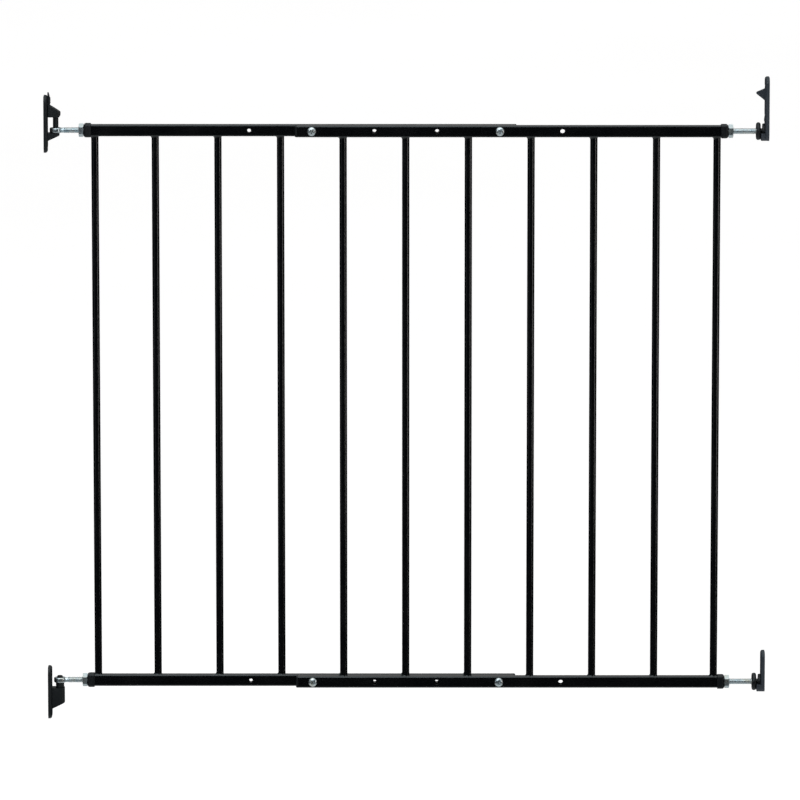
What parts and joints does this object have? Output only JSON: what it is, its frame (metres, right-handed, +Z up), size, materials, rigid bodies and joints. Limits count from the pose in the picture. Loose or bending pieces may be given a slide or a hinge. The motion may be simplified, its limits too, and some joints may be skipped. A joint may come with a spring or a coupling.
{
  "type": "safety baby gate",
  "caption": "Screw-fixed extending safety gate of black steel bars, with lift-off hinges, adjusting nuts and a sprung latch.",
  "frame": {"origin": "on the hinge wall, at the centre of the lower hinge bracket's screw holes", "axes": "+X runs from the hinge wall to the latch wall, -Y faces the viewer, +Z is up"},
  "size_m": [0.983, 0.0437, 0.8857],
  "materials": {
    "frame_paint": "gloss",
    "insert_black": "satin",
    "cap_plastic": "satin",
    "bracket_plastic": "satin",
    "latch_plastic": "matte",
    "bush_plastic": "matte",
    "zinc": "bright zinc plate",
    "spring_steel": "bright"
  },
  "bodies": {
    "hinge_wall": {"upper_hinge_bracket": "bracket_plastic", "lower_hinge_bracket": "bracket_plastic"},
    "hinge_lock": {"upper_hinge_lock": "bracket_plastic"},
    "hinge_bushes": {"upper_eye_bush": "bush_plastic", "lower_eye_bush": "bush_plastic"},
    "hinge_eyebolts": {"upper_hinge_eyebolt": "zinc", "lower_hinge_eyebolt": "zinc"},
    "left_section": {"left_bar_1": "frame_paint", "left_bar_2": "frame_paint", "left_bar_3": "frame_paint", "left_bar_4": "frame_paint", "left_bar_5": "frame_paint", "left_bar_6": "frame_paint", "left_bar_7": "frame_paint", "left_upper_rail": "frame_paint", "left_upper_end_cap": "cap_plastic", "left_upper_plug": "cap_plastic", "left_lower_rail": "frame_paint", "left_lower_end_cap": "cap_plastic", "left_lower_plug": "cap_plastic", "upper_rivet_inserts": "insert_black", "lower_rivet_inserts": "insert_black"},
    "upper_hinge_nut": {"upper_hinge_nut": "zinc"},
    "lower_hinge_nut": {"lower_hinge_nut": "zinc"},
    "right_section": {"right_bar_1": "frame_paint", "right_bar_2": "frame_paint", "right_bar_3": "frame_paint", "right_bar_4": "frame_paint", "right_bar_5": "frame_paint", "right_bar_6": "frame_paint", "right_bar_7": "frame_paint", "right_upper_rail": "frame_paint", "right_upper_end_cap": "cap_plastic", "right_upper_plug": "cap_plastic", "right_lower_rail": "frame_paint", "right_lower_end_cap": "cap_plastic", "right_lower_plug": "cap_plastic", "upper_clamp_screws": "zinc", "lower_clamp_screws": "zinc"},
    "upper_latch_spindle": {"upper_latch_spindle": "zinc", "upper_latch_stud": "cap_plastic"},
    "lower_latch_spindle": {"lower_latch_spindle": "zinc", "lower_latch_stud": "cap_plastic"},
    "upper_latch_nut": {"upper_latch_nut": "zinc"},
    "lower_latch_nut": {"lower_latch_nut": "zinc"},
    "latch_wall": {"upper_latch_bracket": "latch_plastic", "lower_latch_bracket": "latch_plastic", "latch_lever_pin": "zinc", "latch_spring": "spring_steel"},
    "latch_lever": {"latch_lever": "latch_plastic"}
  },
  "joints": [
    {"name": "hinge_lock_slide", "type": "slide", "parent": "hinge_wall", "child": "hinge_lock", "axis": [0, 0, 1], "range_m": [0, 0.03]},
    {"name": "gate_lift", "type": "slide", "parent": "hinge_wall", "child": "hinge_bushes", "axis": [0, 0, 1], "range_m": [0, 0.009]},
    {"name": "gate_swing", "type": "hinge", "parent": "hinge_bushes", "child": "hinge_eyebolts", "pos_m": [0.016, 0, 0.017], "axis": [0, 0, 1], "range_deg": [-88, 88]},
    {"name": "gate_centring", "type": "slide", "parent": "hinge_eyebolts", "child": "left_section", "axis": [1, 0, 0], "range_m": [-0.01, 0.012]},
    {"name": "width_adjust", "type": "slide", "parent": "left_section", "child": "right_section", "axis": [1, 0, 0], "range_m": [-0.255, 0.17]},
    {"name": "opening_width", "type": "slide", "parent": "hinge_wall", "child": "latch_wall", "axis": [1, 0, 0], "range_m": [-0.255, 0.17]},
    {"name": "upper_hinge_nut_turn", "type": "hinge", "parent": "left_section", "child": "upper_hinge_nut", "pos_m": [0.051, 0, 0.776], "axis": [1, 0, 0], "continuous": true},
    {"name": "upper_latch_nut_turn", "type": "hinge", "parent": "right_section", "child": "upper_latch_nut", "pos_m": [0.931, -0.0127, 0.776], "axis": [1, 0, 0], "continuous": true},
    {"name": "upper_latch_spindle_slide", "type": "slide", "parent": "right_section", "child": "upper_latch_spindle", "axis": [1, 0, 0], "range_m": [-0.012, 0.01]},
    {"name": "lower_hinge_nut_turn", "type": "hinge", "parent": "left_section", "child": "lower_hinge_nut", "pos_m": [0.051, 0, 0.017], "axis": [1, 0, 0], "continuous": true},
    {"name": "lower_latch_nut_turn", "type": "hinge", "parent": "right_section", "child": "lower_latch_nut", "pos_m": [0.931, -0.0127, 0.017], "axis": [1, 0, 0], "continuous": true},
    {"name": "lower_latch_spindle_slide", "type": "slide", "parent": "right_section", "child": "lower_latch_spindle", "axis": [1, 0, 0], "range_m": [-0.012, 0.01]},
    {"name": "latch_release", "type": "hinge", "parent": "latch_wall", "child": "latch_lever", "pos_m": [0.9803, -0.0127, 0.8435], "axis": [0, -1, 0], "range_deg": [0, 3.7], "deforming": ["latch_spring"]}
  ],
  "couplings": [
    {"joint": "width_adjust", "follows": "opening_width", "ratio": 1},
    {"joint": "upper_hinge_nut_turn", "follows": "gate_centring", "rad_per_m": 5026.5},
    {"joint": "upper_latch_nut_turn", "follows": "gate_centring", "rad_per_m": 5026.5},
    {"joint": "upper_latch_spindle_slide", "follows": "gate_centring", "ratio": -1},
    {"joint": "lower_hinge_nut_turn", "follows": "gate_centring", "rad_per_m": 5026.5},
    {"joint": "lower_latch_nut_turn", "follows": "gate_centring", "rad_per_m": 5026.5},
    {"joint": "lower_latch_spindle_slide", "follows": "gate_centring", "ratio": -1},
    {"joint": "latch_release", "follows": "gate_lift", "rad_per_m": 7.17}
  ]
}
